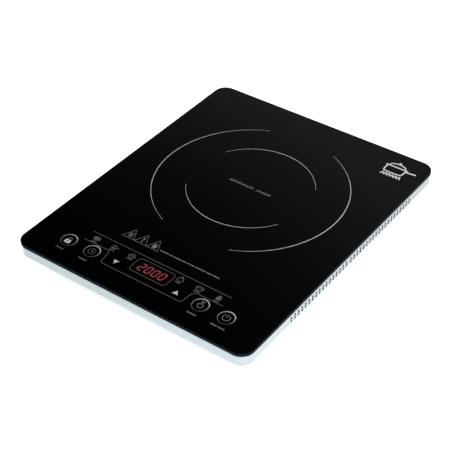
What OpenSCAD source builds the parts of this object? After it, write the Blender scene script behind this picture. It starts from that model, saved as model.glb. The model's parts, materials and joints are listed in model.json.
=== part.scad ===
// Slim portable induction cooktop: a black glass plate on a silver band, over a dark sloped tray.
// Millimetres. Origin at the middle of the table surface under the feet, +Z up, the control edge
// faces -Y and the cord inlet faces +Y.

/* [Plate] */
// Width of the glass plate, left to right
plate_w = 280; // [280:1:290]
// Depth of the glass plate, front to back
plate_d = 348; // [348:1:360]
// Corner radius of the glass plate, seen from above
corner_r = 14; // [13.5:0.25:14.5]
// Thickness of the glass
glass_t = 4; // [3.5:0.25:4]
// Radius ground on the glass's top and bottom edges
glass_nose = 0.4; // [0.3:0.1:0.8]

/* [Housing] */
// Height from the table to the cooking surface
overall_h = 38; // [38:0.5:40]
// Height of the silver band
band_h = 12; // [12:0.25:12.5]
// How far the silver band stands back from the glass edge
band_inset = 1; // [0.8:0.1:1.4]
// Thickness of the band's wall and of the flange that carries the glass
wall_t = 2; // [1.8:0.1:2.2]
// Height of the silicone bead between flange and glass
seal_t = 1; // [0.8:0.1:1.2]
// Height of the tray's flat floor above the table
floor_z = 6; // [5.5:0.25:6]
// Thickness of the tray's floor
floor_t = 2; // [1.8:0.1:2]
// Width of the tray's sloped skirt, seen from below
skirt_w = 17.5; // [17:0.25:18.5]

/* [Side vents] */
// Width of one vent slot along the side
vent_w = 2.8; // [2.2:0.1:3.2]
// Height of one vent slot
vent_h = 3.1; // [2.6:0.1:3.3]
// Distance from one vent column to the next
vent_pitch = 6.03; // [5.8:0.01:6.1]
// Distance between the two rows of slots
vent_row_pitch = 3.7; // [3.5:0.1:3.9]
// Columns in the group nearer the controls
vent_front_n = 17; // [10:1:17]
// Columns in the group nearer the back
vent_back_n = 20; // [10:1:20]

/* [Cooking zone] */
// Distance of the zone's centre behind the plate's centre
zone_y = 32.5; // [30:0.5:34]
// Inside radius of the coil winding
coil_in_r = 26.5; // [26:0.5:28]
// Diameter of the twisted coil wire
litz_d = 3.05; // [2.9:0.05:3.1]
// Turns of the coil
coil_turns = 20; // [16:1:20]
// Number of ferrite bars
ferrite_n = 6; // [6:3:6]

/* [Fan] */
// Side of the square fan frame
fan_size = 80; // [78:1:80]
// Height of the fan frame
fan_h = 15; // [15:0.25:15.5]
// Number of blades
blade_n = 7; // [5:1:9]
// Pitch of the blades from the horizontal
blade_pitch = 42; // [36:1:48]

/* [Cord inlet] */
// Distance of the inlet to the right of the middle
inlet_x = 92; // [60:1:100]
// Radius of the bush's bore, which takes the mains cord
inlet_r = 3.3; // [3:0.1:3.4]

/* [Hidden] */
$fn = 64;

// Colours
glass_black = [0.03, 0.03, 0.04];
silver = [0.80, 0.85, 0.87];
tray_black = [0.10, 0.10, 0.11];
rubber_black = [0.06, 0.06, 0.06];
steel = [0.70, 0.71, 0.73];
brass = [0.78, 0.62, 0.30];
copper = [0.72, 0.42, 0.22];
board_green = [0.10, 0.36, 0.20];
board_dark = [0.06, 0.16, 0.12];
aluminium = [0.76, 0.77, 0.79];
ferrite_grey = [0.22, 0.22, 0.24];
mica_tan = [0.72, 0.66, 0.52];
resin_black = [0.13, 0.13, 0.14];
film_yellow = [0.85, 0.72, 0.25];
film_blue = [0.18, 0.33, 0.60];
nylon_white = [0.88, 0.87, 0.82];
red_plastic = [0.55, 0.08, 0.10];

// Heights of the stack, from the glass down
glass_z = overall_h - glass_t;
flange_z = glass_z - seal_t;
band_z = flange_z - band_h;
rim_t = 2;
band_edge_r = 0.6;
seal_w = 6.5;
seal_inset = 2.5;

// The tray's flat floor and its skirt, whose corners turn on a larger radius than the plate's
skirt_inset = band_inset + wall_t + 1;
skirt_r = 22;
skirt_floor_r = skirt_r - skirt_w;
skirt_rise = (band_z - floor_z) / skirt_w;
skirt_t = 2.6;
floor_top = floor_z + floor_t;
fit_gap = 0.2;

// Places of the housing screws, as distances from the centre
corner_screw = [plate_w / 2 - 18, plate_d / 2 - 18];
side_screw_x = plate_w / 2 - 14;
side_screw_y = 1.5;
end_screw_y = plate_d / 2 - 14;
screw_places = [
    for (sx = [-1, 1], sy = [-1, 1]) [sx * corner_screw[0], sy * corner_screw[1]],
    for (sx = [-1, 1]) [sx * side_screw_x, side_screw_y],
    for (sy = [-1, 1]) [0, sy * end_screw_y]
];
screw_seat_z = 17.5;
boss_z = screw_seat_z + 2;
boss_r = 4;
screw_r = 1.5;
gusset = 20;

// Vent rows are measured down from the cooking surface
vent_z = overall_h - 9.6;
vent_group_gap = 8;

// Feet
foot_edge_r = 1;
foot_barb_h = 1.2;
foot_places = [[-109, -137], [109, -137], [-109, 137], [109, 137]];
foot_r = 9;
foot_stem_r = 2.5;

// Coil stack
former_t = 2;
mica_t = 0.6;
mica_z = glass_z - 1.6;
coil_z = mica_z - litz_d - 0.2;
former_z = coil_z - former_t;
coil_out_r = coil_in_r + coil_turns * litz_d;
former_r = coil_out_r + 3;
ferrite_t = 5;
ferrite_w = 14;
ferrite_l = 50;
ferrite_in_r = 30;
former_lug_r = former_r + 5.5;
former_lug_turns = [90, 210, 330];
former_places = [for (a = former_lug_turns) [former_lug_r * cos(a), zone_y + former_lug_r * sin(a)]];

// Main board
board_w = 136;
board_d = 87;
board_t = 1.6;
board_x = -46;
board_y = -106.5;
board_z = 12;
board_top = board_z + board_t;
board_places = [
    for (sx = [-1, 1], sy = [-1, 1])
        [board_x + sx * (board_w / 2 - 5), board_y + sy * (board_d / 2 - 5)]
];

// Places of the parts on the main board that wires or other parts meet
terminal_places = [[-62, -68], [-44, -68]];
terminal_z = board_top + 5;
choke_place = [-93, -85, board_top + 6.4];
fan_socket_place = [18.8, -124, board_top];

// Heatsink over the two power devices
sink_x = -8;
sink_y = -93.5;
sink_w = 56;
sink_d = 42;
sink_z = board_top + 5.2;
sink_screw_x = [-22, 4];

// Control board and the bracket that carries it
bracket_z = 25.7;
bracket_t = 1.8;
control_w = 224;
control_d = 36;
control_y = -136;
control_z = bracket_z + bracket_t;
control_top = control_z + board_t;
bracket_places = [for (sx = [-1, 1], y = [-146, -122]) [sx * 118, y]];

// Touch positions: keys, arrows and the row of cooking programmes
key_y = -143.3;
key_x = [-97, -67, 67, 97];
arrow_x = [-38, 38];
program_y = -125.7;
program_x = [-75.5, -52.7, -30, 30, 52.7, 75.5];
touch_places = [
    for (x = key_x) [x, key_y],
    for (x = arrow_x) [x, key_y + 0.8],
    for (x = program_x) [x, program_y]
];

// Fan
fan_x = 64;
fan_y = -102;
fan_z = floor_top + 1.5;
fan_bore_r = fan_size / 2 - 2.5;
fan_hole = fan_size / 2 - 4.25;
fan_places = [for (sx = [-1, 1], sy = [-1, 1]) [fan_x + sx * fan_hole, fan_y + sy * fan_hole]];
hub_r = 15;
blade_z = fan_z + 3.1;
blade_h = 11;
shaft_r = 1.5;
shaft_clearance = 0.05;

// Posts on the tray: places, radius and top
tray_posts = [
    [screw_places, 5, boss_z],
    [board_places, 3.5, board_z],
    [former_places, 4, former_z],
    [bracket_places, 3, bracket_z],
    [fan_places, 3.8, fan_z]
];

// Round holes in the tray and its posts: places, radius, bottom and top
tray_holes = [
    [screw_places, 3.5, 0, screw_seat_z],
    [screw_places, screw_r + 0.2, screw_seat_z - 1, boss_z + 1],
    [board_places, 1.2, floor_top, board_z + 1],
    [former_places, 1.4, former_z - 10, former_z + 1],
    [bracket_places, 1.2, bracket_z - 8, bracket_z + 1],
    [fan_places, 1.4, floor_z + 1, fan_z + 1],
    [foot_places, foot_stem_r, 0, floor_top + 1]
];

// Cord bush
bush_r = inlet_r + 1.4;
bush_z = band_z + band_h / 2;
bush_collar_r = bush_r + 0.9;
bush_l = 14;
bush_flare_r = inlet_r + 0.7;
bush_flare_l = 3.5;

// ---------------------------------------------------------------- shared shapes

// Rounded rectangle of w by d about the origin
module rounded_rect(w, d, r) {
    square([w - 2 * r, d], center = true);
    square([w, d - 2 * r], center = true);
    for (sx = [-1, 1], sy = [-1, 1])
        translate([sx * (w / 2 - r), sy * (d / 2 - r)]) circle(r);
}

// Carries an edge profile round a rounded rectangle. In the profile, X runs outward from the
// corner's centre and Y is the height.
module rim_sweep(w, d, r) {
    x = w / 2 - r;
    y = d / 2 - r;
    for (c = [[x, y, 0], [-x, y, 90], [-x, -y, 180], [x, -y, 270]])
        translate([c[0], c[1], 0]) rotate([0, 0, c[2]]) rotate_extrude(angle = 90) children();
    for (turn = [0, 180]) rotate([0, 0, turn]) {
        translate([x, y, 0]) rotate([90, 0, 0]) linear_extrude(2 * y) children();
        rotate([0, 0, 90]) translate([y, x, 0]) rotate([90, 0, 0]) linear_extrude(2 * x) children();
    }
}

// Upright cylinders of radius r from z0 to z1 at each of the places
module posts(places, r, z0, z1) {
    for (p = places) translate([p[0], p[1], z0]) cylinder(r = r, h = z1 - z0);
}

// Box given by its middle in plan, its foot height and its size
module block(x, y, z, size) {
    translate([x - size[0] / 2, y - size[1] / 2, z]) cube(size);
}

// Pan-head screws: heads of radius head_r stand on head_z, shanks reach down to tip_z
module screws(places, r, head_r, head_h, head_z, tip_z) {
    for (p = places) translate([p[0], p[1], 0]) difference() {
        union() {
            translate([0, 0, tip_z]) cylinder(r = r, h = head_z - tip_z);
            translate([0, 0, head_z]) cylinder(r1 = head_r, r2 = head_r * 0.8, h = head_h);
        }
        for (turn = [0, 90]) rotate([0, 0, turn])
            block(0, 0, head_z + head_h * 0.5, [head_r * 1.1, 0.6, head_h]);
    }
}

function unit(v) = v / norm(v);
function bezier(p, t) =
    pow(1 - t, 3) * p[0] + 3 * t * pow(1 - t, 2) * p[1] + 3 * t * t * (1 - t) * p[2] + t * t * t * p[3];

// Insulated wire of radius r along one cubic curve with the four control points p
module lead(p, r, steps = 14, sides = 8) {
    route = [for (i = [0:steps]) bezier(p, i / steps)];
    heading = [for (i = [0:steps]) unit(route[min(i + 1, steps)] - route[max(i - 1, 0)])];
    across = [for (h = heading) unit(cross(h, [0.31, 0.12, 1]))];
    points = [
        for (i = [0:steps], k = [0:sides - 1])
            let (a = 360 * k / sides)
            route[i] + r * (cos(a) * across[i] + sin(a) * cross(heading[i], across[i]))
    ];
    skin = [
        for (i = [0:steps - 1], k = [0:sides - 1])
            let (a = i * sides + k, b = i * sides + (k + 1) % sides)
            [a, a + sides, b + sides, b]
    ];
    caps = [[for (k = [0:sides - 1]) k], [for (k = [0:sides - 1]) (steps + 1) * sides - 1 - k]];
    polyhedron(points = points, faces = concat(skin, caps));
}

// ---------------------------------------------------------------- housing

module glass_edge() {
    square([corner_r - glass_nose, glass_t]);
    translate([0, glass_nose]) square([corner_r, glass_t - 2 * glass_nose]);
    for (y = [glass_nose, glass_t - glass_nose]) translate([corner_r - glass_nose, y]) circle(glass_nose);
}

module glass_top() {
    color(glass_black) translate([0, 0, glass_z]) {
        rim_sweep(plate_w, plate_d, corner_r) glass_edge();
        block(0, 0, 0, [plate_w - 2 * corner_r, plate_d - 2 * corner_r, glass_t]);
    }
}

module glass_seal() {
    color(rubber_black) rim_sweep(plate_w, plate_d, corner_r)
        translate([corner_r - seal_inset - seal_w, flange_z]) square([seal_w, seal_t]);
}

// Section of the silver band: flange on top, upright wall, rounded foot
module band_section() {
    face = corner_r - band_inset;
    flange_in = 2;
    translate([flange_in, flange_z - wall_t]) square([face - flange_in - band_edge_r, wall_t]);
    translate([face - wall_t, band_z + wall_t]) square([wall_t, band_h - wall_t - band_edge_r]);
    translate([face - band_edge_r, flange_z - band_edge_r]) circle(band_edge_r);
    intersection() {
        translate([face - wall_t, band_z + wall_t]) circle(wall_t);
        translate([face - wall_t, band_z]) square([wall_t, wall_t]);
    }
}

module vent_slot() {
    straight = vent_h - vent_w;
    rotate([90, 0, 90]) translate([0, 0, -wall_t]) linear_extrude(3 * wall_t) {
        square([vent_w, straight], center = true);
        for (s = [-1, 1]) translate([0, s * straight / 2]) circle(vent_w / 2);
    }
}

// Both groups of slots of one side wall, cut through the wall at x
module vent_field(x) {
    front_y = side_screw_y - vent_group_gap / 2;
    back_y = side_screw_y + vent_group_gap / 2;
    columns = [
        for (i = [0:vent_front_n - 1]) front_y - i * vent_pitch,
        for (i = [0:vent_back_n - 1]) back_y + i * vent_pitch
    ];
    for (y = columns, row = [0, 1]) translate([x, y, vent_z - row * vent_row_pitch]) vent_slot();
}

module upper_frame() {
    color(silver) difference() {
        union() {
            rim_sweep(plate_w, plate_d, corner_r) band_section();
            posts(screw_places, boss_r, boss_z, flange_z);
            for (sx = [-1, 1], sy = [-1, 1])
                block(sx * (plate_w / 2 - 19), sy * (plate_d / 2 - 19), flange_z - wall_t,
                      [gusset, gusset, wall_t]);
        }
        for (side = [0, 1]) mirror([side, 0, 0]) vent_field(plate_w / 2 - band_inset - wall_t);
        posts(screw_places, screw_r, boss_z - 1, boss_z + 9.5);
        translate([inlet_x, plate_d / 2, bush_z]) rotate([90, 0, 0]) cylinder(r = bush_r, h = 6);
        bush_pocket();
    }
}

// Room for the bush behind the band's wall, open through the flange
module bush_pocket() {
    w = 2 * bush_collar_r + 0.2;
    block(inlet_x, plate_d / 2 - band_inset - wall_t - bush_l / 2, bush_z - w / 2, [w, bush_l, w + 2]);
}

// Section of the tray's skirt and the edge of its floor
module skirt_section() {
    top = band_z + rim_t;
    inner_top = skirt_r - (skirt_t - rim_t) / skirt_rise;
    inner_low = skirt_floor_r - (skirt_t - floor_t) / skirt_rise;
    polygon([
        [0, floor_z], [skirt_floor_r, floor_z], [skirt_r, band_z], [skirt_r, top],
        [inner_top, top], [inner_low, floor_top], [0, floor_top]
    ]);
}

// Everything above the skirt's outer surface: trims the posts that stand on the slope
module tray_envelope() {
    w = plate_w - 2 * skirt_inset;
    d = plate_d - 2 * skirt_inset;
    outline = [[0, floor_z], [skirt_floor_r, floor_z], [skirt_r, band_z], [skirt_r, glass_z], [0, glass_z]];
    rim_sweep(w, d, skirt_r) polygon(outline);
    block(0, 0, floor_z, [w - 2 * skirt_r, d - 2 * skirt_r, glass_z - floor_z]);
}

// Air intake under the fan: ring slots crossed by spokes
module intake_grille() {
    translate([fan_x, fan_y, floor_z - 1]) linear_extrude(floor_t + 2) difference() {
        for (r = [10:5:35]) difference() {
            circle(r + 1.5);
            circle(r - 1.5);
        }
        for (turn = [0:60:120]) rotate(turn) square([80, 3], center = true);
    }
}

// Straight air slots in the floor behind the coil
module outlet_slots() {
    slot = [36, 3];
    for (sx = [-1, 1], i = [0:4])
        translate([sx * 52, 118 + i * 6, floor_z - 1]) linear_extrude(floor_t + 2) {
            square([slot[0] - slot[1], slot[1]], center = true);
            for (s = [-1, 1]) translate([s * (slot[0] - slot[1]) / 2, 0]) circle(slot[1] / 2);
        }
}

module base_tray() {
    w = plate_w - 2 * skirt_inset;
    d = plate_d - 2 * skirt_inset;
    rim = skirt_inset - 1 + fit_gap;
    color(tray_black) difference() {
        union() {
            rim_sweep(w, d, skirt_r) skirt_section();
            block(0, 0, floor_z, [w - 2 * skirt_r, d - 2 * skirt_r, floor_t]);
            translate([0, 0, band_z]) linear_extrude(rim_t) difference() {
                rounded_rect(plate_w - 2 * rim, plate_d - 2 * rim, corner_r - rim);
                rounded_rect(w - 0.8, d - 0.8, skirt_r - 0.4);
            }
            intersection() {
                tray_envelope();
                for (p = tray_posts) posts(p[0], p[1], floor_z, p[2]);
            }
        }
        for (h = tray_holes) posts(h[0], h[1], h[2], h[3]);
        intake_grille();
        outlet_slots();
        bush_pocket();
    }
}

module foot(place) {
    color(rubber_black) translate([place[0], place[1], 0]) rotate_extrude() {
        square([foot_r - foot_edge_r, floor_z]);
        translate([0, foot_edge_r]) square([foot_r, floor_z - foot_edge_r]);
        translate([foot_r - foot_edge_r, foot_edge_r]) circle(foot_edge_r);
        square([foot_stem_r, floor_top + foot_barb_h]);
        translate([0, floor_top]) square([foot_stem_r + 0.8, foot_barb_h]);
    }
}

module foot_front_left() { foot(foot_places[0]); }
module foot_front_right() { foot(foot_places[1]); }
module foot_back_left() { foot(foot_places[2]); }
module foot_back_right() { foot(foot_places[3]); }

// The housing screws are driven from below, so they are turned over
module housing_screws() {
    color(steel) mirror([0, 0, 1])
        screws(screw_places, screw_r, 3.1, 2.2, -screw_seat_z, -(boss_z + 8.5));
}

module cord_bush() {
    face = plate_d / 2 - band_inset;
    color(rubber_black) translate([inlet_x, face + 0.9, bush_z]) rotate([90, 0, 0]) difference() {
        union() {
            cylinder(r = bush_r, h = bush_l);
            cylinder(r = bush_collar_r, h = 0.9);
            translate([0, 0, 0.9 + wall_t]) cylinder(r = bush_collar_r, h = 1.6);
        }
        translate([0, 0, bush_flare_l]) cylinder(r = inlet_r, h = bush_l);
        cylinder(r1 = bush_flare_r, r2 = inlet_r, h = bush_flare_l);
    }
}

// ---------------------------------------------------------------- heating

// Disc that carries the winding on top and the ferrite bars underneath
module coil_former() {
    rail_h = 3;
    color(nylon_white) translate([0, zone_y, 0]) difference() {
        union() {
            translate([0, 0, former_z]) cylinder(r = former_r, h = former_t);
            translate([0, 0, former_z]) difference() {
                cylinder(r = former_r, h = mica_z - former_z);
                translate([0, 0, -1]) cylinder(r = coil_out_r + 0.5, h = 20);
            }
            translate([0, 0, former_z]) cylinder(r = coil_in_r - 0.5, h = mica_z - former_z);
            for (a = former_lug_turns) rotate([0, 0, a]) {
                translate([former_lug_r, 0, former_z]) cylinder(r = 4.5, h = former_t);
                block(former_r + 2, 0, former_z, [7, 9, former_t]);
            }
            for (i = [0:ferrite_n - 1]) rotate([0, 0, i * 360 / ferrite_n]) for (s = [-1, 1])
                block(ferrite_in_r + ferrite_l / 2, s * (ferrite_w / 2 + 0.95), former_z - rail_h,
                      [ferrite_l, 1.5, rail_h + former_t / 2]);
        }
        translate([0, 0, former_z - 1]) cylinder(r = 9, h = 20);
        translate([0, 0, former_z + former_t]) cylinder(r = coil_in_r - 2.5, h = 20);
        for (a = former_lug_turns) rotate([0, 0, a])
            translate([former_lug_r, 0, former_z - 1]) cylinder(r = 1.7, h = former_t + 2);
        for (i = [0:ferrite_n - 1]) rotate([0, 0, (i + 0.5) * 360 / ferrite_n])
            translate([0, 0, former_z - 1]) linear_extrude(former_t + 2) {
                translate([46, 0]) circle(9);
                translate([70, 0]) circle(11);
            }
    }
}

module induction_coil() {
    color(copper) translate([0, zone_y, coil_z + litz_d / 2 + 0.05]) rotate_extrude()
        for (i = [0:coil_turns - 1])
            translate([coil_in_r + (i + 0.5) * litz_d, 0]) circle(litz_d / 2 + 0.04);
}

module ferrite_bars() {
    color(ferrite_grey) translate([0, zone_y, 0])
        for (i = [0:ferrite_n - 1]) rotate([0, 0, i * 360 / ferrite_n])
            block(ferrite_in_r + ferrite_l / 2, 0, former_z - ferrite_t, [ferrite_l, ferrite_w, ferrite_t]);
}

module mica_sheet() {
    color(mica_tan) translate([0, zone_y, mica_z]) difference() {
        cylinder(r = former_r, h = mica_t);
        translate([0, 0, -1]) cylinder(r = 11.5, h = mica_t + 2);
    }
}

module coil_screws() {
    color(steel) screws(former_places, 1.4, 3, 2, former_z + former_t, former_z - 8);
}

// Soft boot that presses the temperature sensor against the glass
module sensor_boot() {
    color(nylon_white) translate([0, zone_y, 0]) difference() {
        union() {
            translate([0, 0, former_z - 2]) cylinder(r = 8.8, h = former_t + 2.4);
            translate([0, 0, former_z + former_t]) cylinder(r1 = 11, r2 = 8, h = 4);
        }
        translate([0, 0, former_z + former_t]) cylinder(r = 3.5, h = 10);
        translate([0, 0, former_z - 3]) cylinder(r = 1.5, h = 10);
    }
}

module thermistor() {
    color(aluminium) translate([0, zone_y, former_z + former_t])
        cylinder(r = 3.5, h = glass_z - former_z - former_t);
}

module sensor_lead() {
    start = [0, zone_y, former_z - 2];
    socket = [-32, -68, board_top];
    color(resin_black) {
        lead([start, start - [0, 0, 14], socket + [0, 40, 3], socket + [0, 2, 5]], 1.1, 24);
        block(socket[0], socket[1], socket[2], [7, 5, 7]);
    }
}

// Ring lug on a terminal post, with the wire that comes to it from the coil
module coil_lead(from, post) {
    color(copper) {
        lead([from, from - [4, 8, 2], post + [0, 18, 1], post + [0, 4, 0.5]], 1.5);
        translate(post) difference() {
            cylinder(r = 4.4, h = 1);
            translate([0, 0, -1]) cylinder(r = 2.1, h = 3);
        }
    }
}

module coil_lead_outer() {
    coil_lead([-64, -36.5, former_z - 1.6], [terminal_places[0][0], terminal_places[0][1], terminal_z]);
}
module coil_lead_inner() {
    coil_lead([-44, -48, former_z - 1.6], [terminal_places[1][0], terminal_places[1][1], terminal_z]);
}

// ---------------------------------------------------------------- power electronics

module main_board() {
    color(board_green) difference() {
        block(board_x, board_y, board_z, [board_w, board_d, board_t]);
        posts(board_places, 1.6, board_z - 1, board_top + 1);
    }
}

module board_screws() {
    color(steel) screws(board_places, 1.2, 2.6, 1.8, board_top, floor_top + 0.5);
}

module heatsink() {
    base_t = 3;
    fin_t = 1.4;
    fin_h = 9.5;
    color(aluminium) difference() {
        union() {
            block(sink_x, sink_y, sink_z, [sink_w, sink_d, base_t]);
            for (s = [-1, 1], i = [0:3])
                block(sink_x, sink_y + s * (5 + i * 5.4), sink_z, [sink_w, fin_t, base_t + fin_h]);
            for (s = [-1, 1])
                block(sink_x, sink_y + s * (sink_d / 2 - 1), board_top, [10, 2, sink_z - board_top + 1]);
        }
        for (x = sink_screw_x) translate([x, sink_y, sink_z - 1]) cylinder(r = 1.5, h = 6);
    }
}

module heatsink_screws() {
    color(steel) screws([for (x = sink_screw_x) [x, sink_y]], 1.5, 2.8, 2, sink_z + 3, board_top + 0.8);
}

// Flat power package under the heatsink, with legs that bend down into the board
module power_package(x, w, legs) {
    body_h = sink_z - board_top - 0.2;
    difference() {
        block(x, sink_y, board_top + 0.2, [w, 20, body_h]);
        translate([x, sink_y, board_top]) cylinder(r = 1.6, h = 8);
    }
    for (i = [0:legs - 1]) {
        leg_x = x + (i - (legs - 1) / 2) * (w - 4) / (legs - 1);
        block(leg_x, sink_y - 11.4, board_top + 2, [1.2, 3, 0.8]);
        block(leg_x, sink_y - 12.9, board_top, [1.2, 0.8, 2.8]);
    }
}

module power_transistor() { color(resin_black) power_package(sink_screw_x[0], 16, 3); }
module bridge_rectifier() { color(resin_black) power_package(sink_screw_x[1], 26, 4); }

// Film capacitor: potted box on two legs
module film_capacitor(x, y, size) {
    block(x, y, board_top + 0.6, size);
    for (s = [-1, 1]) block(x + s * (size[0] / 2 - 3), y, board_top, [0.9, 0.9, 1]);
}

module resonant_capacitor() { color(film_blue) film_capacitor(-56, -104, [34, 20, 17]); }
module filter_capacitor() { color(film_yellow) film_capacitor(-56, -84.5, [30, 16, 16.5]); }
module line_capacitor() { color(film_yellow) film_capacitor(-92, -111, [27, 11, 16]); }

module choke_ring(in_r, out_r, h, angle = 360) {
    rotate_extrude(angle = angle) translate([in_r, -h / 2]) square([out_r - in_r, h]);
}
module choke_core() {
    color(ferrite_grey) translate(choke_place) choke_ring(8, 13.8, 9);
}
module choke_winding() {
    color(copper) translate(choke_place) {
        for (turn = [15, 195]) rotate([0, 0, turn]) difference() {
            choke_ring(6.8, 15, 11.4, 150);
            choke_ring(8, 13.8, 9);
        }
        for (s = [-1, 1], x = [-7, 7]) block(x, s * 14, -6.4, [1, 1, 1]);
    }
}

module fuse() {
    clip = [3, 6.4, 6];
    place = [-92, -142];
    color(steel) difference() {
        union() {
            translate([place[0] - 11, place[1], board_top + 4.6]) rotate([0, 90, 0])
                cylinder(r = 2.6, h = 22);
            for (s = [-1, 1]) block(place[0] + s * 8.5, place[1], board_top, clip);
        }
        for (s = [-1, 1]) block(place[0] + s * 8.5, place[1], board_top + 4.6 + 2.6, [4, 8, 4]);
    }
}

module varistor() {
    color(film_blue) translate([-92, -129, board_top + 5.8]) {
        rotate([90, 0, 0]) cylinder(r = 5, h = 4, center = true);
        for (s = [-1, 1]) block(s * 2.5, 0, -5.8, [0.8, 0.8, 3]);
    }
}

module current_transformer() {
    color(resin_black) {
        block(-68, -131, board_top, [14, 12, 8]);
        block(-68, -131, board_top, [10, 5, 11]);
    }
}

// Small transformer: winding between the two outer legs of an E core
module supply_transformer() {
    place = [-26, -136];
    color(film_yellow) {
        block(place[0], place[1], board_top, [18, 16, 2]);
        block(place[0], place[1], board_top + 2, [11, 15, 7]);
        for (s = [-1, 1]) block(place[0] + s * 7, place[1], board_top + 2, [4, 12, 9]);
        block(place[0], place[1], board_top + 9, [18, 12, 2]);
    }
}

module can_capacitor(place) {
    color(resin_black) translate([place[0], place[1], board_top]) rotate_extrude() {
        square([4.4, 11]);
        square([5, 1.4]);
        translate([0, 2.2]) square([5, 8.4]);
    }
}
module smoothing_capacitor_1() { can_capacitor([-47, -127]); }
module smoothing_capacitor_2() { can_capacitor([-47, -140]); }

module buzzer() {
    color(resin_black) translate([-5, -140, board_top]) difference() {
        cylinder(r = 6, h = 8);
        translate([0, 0, 7]) cylinder(r = 1, h = 2);
    }
}

// Threaded posts for the coil's ring lugs, each with its nut above the lug
module coil_terminals() {
    color(brass) for (p = terminal_places) translate([p[0], p[1], 0]) {
        translate([0, 0, board_top]) cylinder(r = 3.5, h = 5);
        translate([0, 0, board_top]) cylinder(r = 2, h = 9.5);
        translate([0, 0, terminal_z + 1]) cylinder(r = 3.4, h = 2.4, $fn = 6);
    }
}

module mains_terminals() {
    color(steel) for (y = [-124, -133]) {
        block(-107, y, board_top, [6.3, 3, 1]);
        block(-107, y, board_top, [6.3, 0.8, 9]);
    }
}

// ---------------------------------------------------------------- fan

module fan_frame() {
    flange = 3;
    color(resin_black) translate([fan_x, fan_y, fan_z]) {
        difference() {
            union() {
                for (z = [0, fan_h - flange]) translate([0, 0, z])
                    linear_extrude(flange) rounded_rect(fan_size, fan_size, 5);
                cylinder(r = fan_bore_r + 1.8, h = fan_h);
            }
            translate([0, 0, -1]) cylinder(r = fan_bore_r, h = fan_h + 2);
            for (sx = [-1, 1], sy = [-1, 1]) translate([sx * fan_hole, sy * fan_hole, 0]) {
                translate([0, 0, -1]) cylinder(r = 1.7, h = flange + 2);
                translate([0, 0, flange + 0.1]) cylinder(r = 3.4, h = fan_h);
            }
        }
        difference() {
            union() {
                cylinder(r = hub_r - 0.5, h = 1.6);
                for (turn = [45, 135]) rotate([0, 0, turn])
                    block(0, 0, 0, [2 * fan_bore_r + 1, 3.4, 1.6]);
                cylinder(r = 4.4, h = 9);
            }
            translate([0, 0, 1.6]) cylinder(r = 3.2, h = 10);
        }
    }
}

module fan_bearing() {
    color(brass) translate([fan_x, fan_y, fan_z + 1.6]) difference() {
        cylinder(r = 3.2, h = 8.4);
        translate([0, 0, -1]) cylinder(r = shaft_r + shaft_clearance, h = 11);
    }
}

// Four wound poles round the bearing tube
module fan_stator() {
    color(copper) translate([fan_x, fan_y, fan_z + 2.6]) difference() {
        union() {
            cylinder(r = 6.4, h = 6);
            for (turn = [0, 90]) rotate([0, 0, turn]) block(0, 0, 0, [18, 5, 6]);
            difference() {
                cylinder(r = 10.5, h = 6);
                translate([0, 0, -1]) cylinder(r = 8.8, h = 8);
                for (turn = [45, 135]) rotate([0, 0, turn]) block(0, 0, -1, [24, 3, 8]);
            }
        }
        translate([0, 0, -1]) cylinder(r = 4.4, h = 8);
    }
}

module fan_rotor() {
    cap_z = fan_z + 13;
    color(resin_black) translate([fan_x, fan_y, 0]) {
        difference() {
            union() {
                translate([0, 0, fan_z + 2.4]) cylinder(r = hub_r, h = cap_z + 1.4 - fan_z - 2.4);
                for (i = [0:blade_n - 1]) rotate([0, 0, i * 360 / blade_n]) blade();
            }
            translate([0, 0, fan_z + 1]) cylinder(r = hub_r - 1.4, h = cap_z - fan_z - 1);
        }
        difference() {
            translate([0, 0, cap_z - 1.8]) cylinder(r = 3.4, h = 2);
            translate([0, 0, cap_z - 3]) cylinder(r = shaft_r, h = 3);
        }
    }
}

// One tilted blade, trimmed to the ring between the hub and the frame's bore
module blade() {
    intersection() {
        translate([0, 0, blade_z]) difference() {
            cylinder(r = fan_bore_r - 1, h = blade_h);
            translate([0, 0, -1]) cylinder(r = hub_r - 0.6, h = blade_h + 2);
        }
        translate([(fan_bore_r + hub_r) / 2, 0, blade_z + blade_h / 2]) rotate([blade_pitch, 0, 0])
            cube([fan_bore_r, 24, 1.3], center = true);
    }
}

module fan_magnet() {
    color(ferrite_grey) translate([fan_x, fan_y, fan_z + 3.4]) difference() {
        cylinder(r = hub_r - 1.4, h = 7);
        translate([0, 0, -1]) cylinder(r = hub_r - 3.4, h = 9);
    }
}

module fan_shaft() {
    color(steel) translate([fan_x, fan_y, fan_z + 2.6]) cylinder(r = shaft_r, h = 10.4);
}

module fan_screws() {
    color(steel) screws(fan_places, 1.4, 2.8, 2, fan_z + 3, floor_z + 1.2);
}

module fan_socket() {
    color(nylon_white) block(fan_socket_place[0], fan_socket_place[1], board_top, [4.5, 7.5, 6.5]);
}
module fan_lead() {
    plug = fan_socket_place + [0, 0, 6.8];
    frame_side = [fan_x - fan_size / 2 - 0.4, -134, fan_z + 7.5];
    color(red_plastic) lead([plug, plug + [0, 0, 5], frame_side + [-5, 0, 0], frame_side], 0.8, 12);
}

// ---------------------------------------------------------------- controls

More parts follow.
